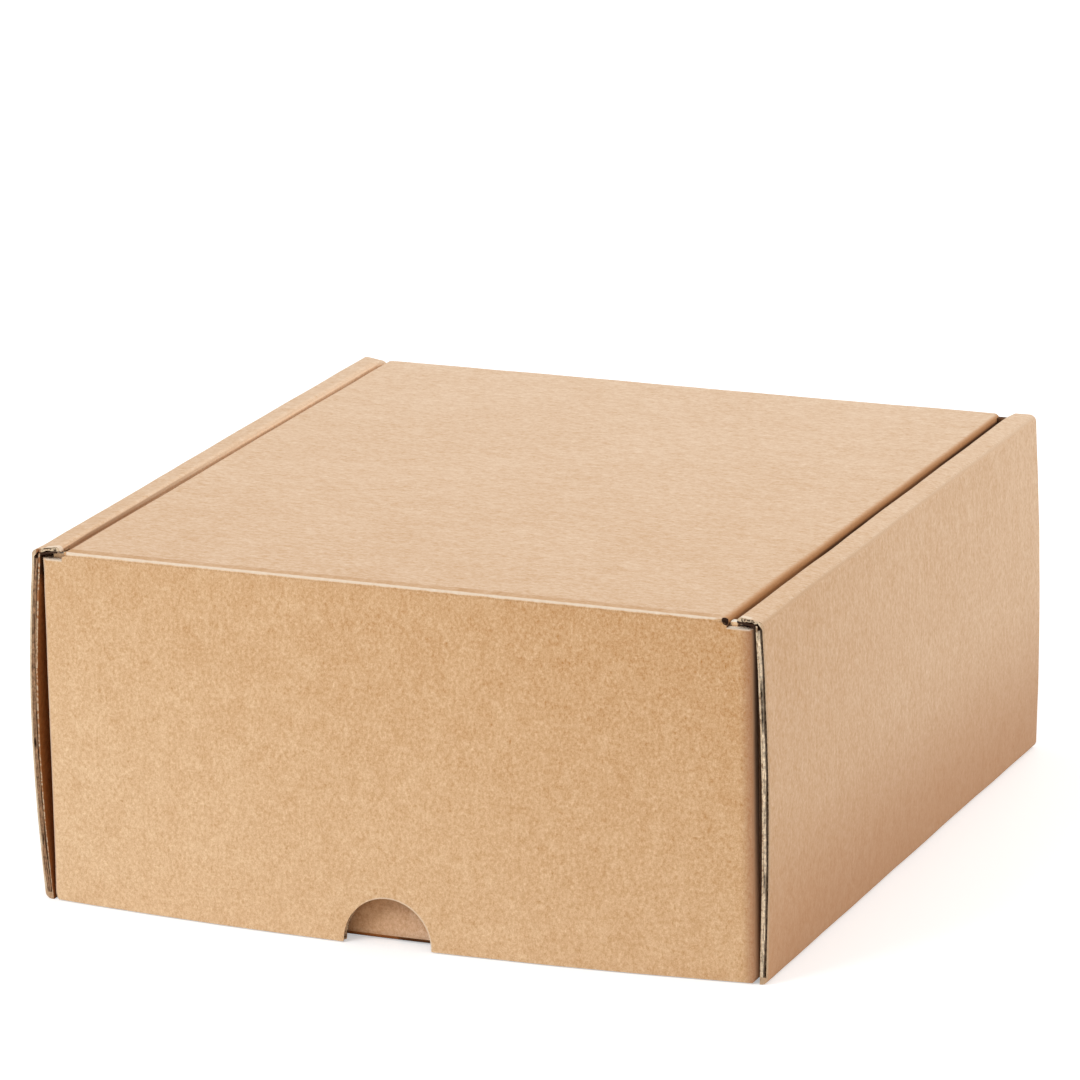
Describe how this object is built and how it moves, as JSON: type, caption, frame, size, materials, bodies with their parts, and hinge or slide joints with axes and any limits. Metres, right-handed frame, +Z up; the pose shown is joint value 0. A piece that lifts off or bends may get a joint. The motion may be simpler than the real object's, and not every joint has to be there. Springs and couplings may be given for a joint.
{
  "type": "cardboard mailing box",
  "caption": "Closed mailing box folded from one sheet of kraft corrugated board, with rolled side walls and a hinged front flap that has a thumb notch.",
  "frame": {"origin": "centre of the footprint, on the surface the box stands on", "axes": "+Z up, +Y from the front flap to the back wall, +X to the right seen from the front"},
  "size_m": [0.2778, 0.2907, 0.1302],
  "materials": {
    "kraft_board": "matte"
  },
  "bodies": {
    "box": {"box_body": "kraft_board"},
    "flap": {"front_flap": "kraft_board"}
  },
  "joints": [
    {"name": "front_flap_hinge", "type": "hinge", "parent": "box", "child": "flap", "pos_m": [0, -0.1366, 0.1276], "axis": [-1, 0, 0], "range_deg": [0, 90]}
  ]
}
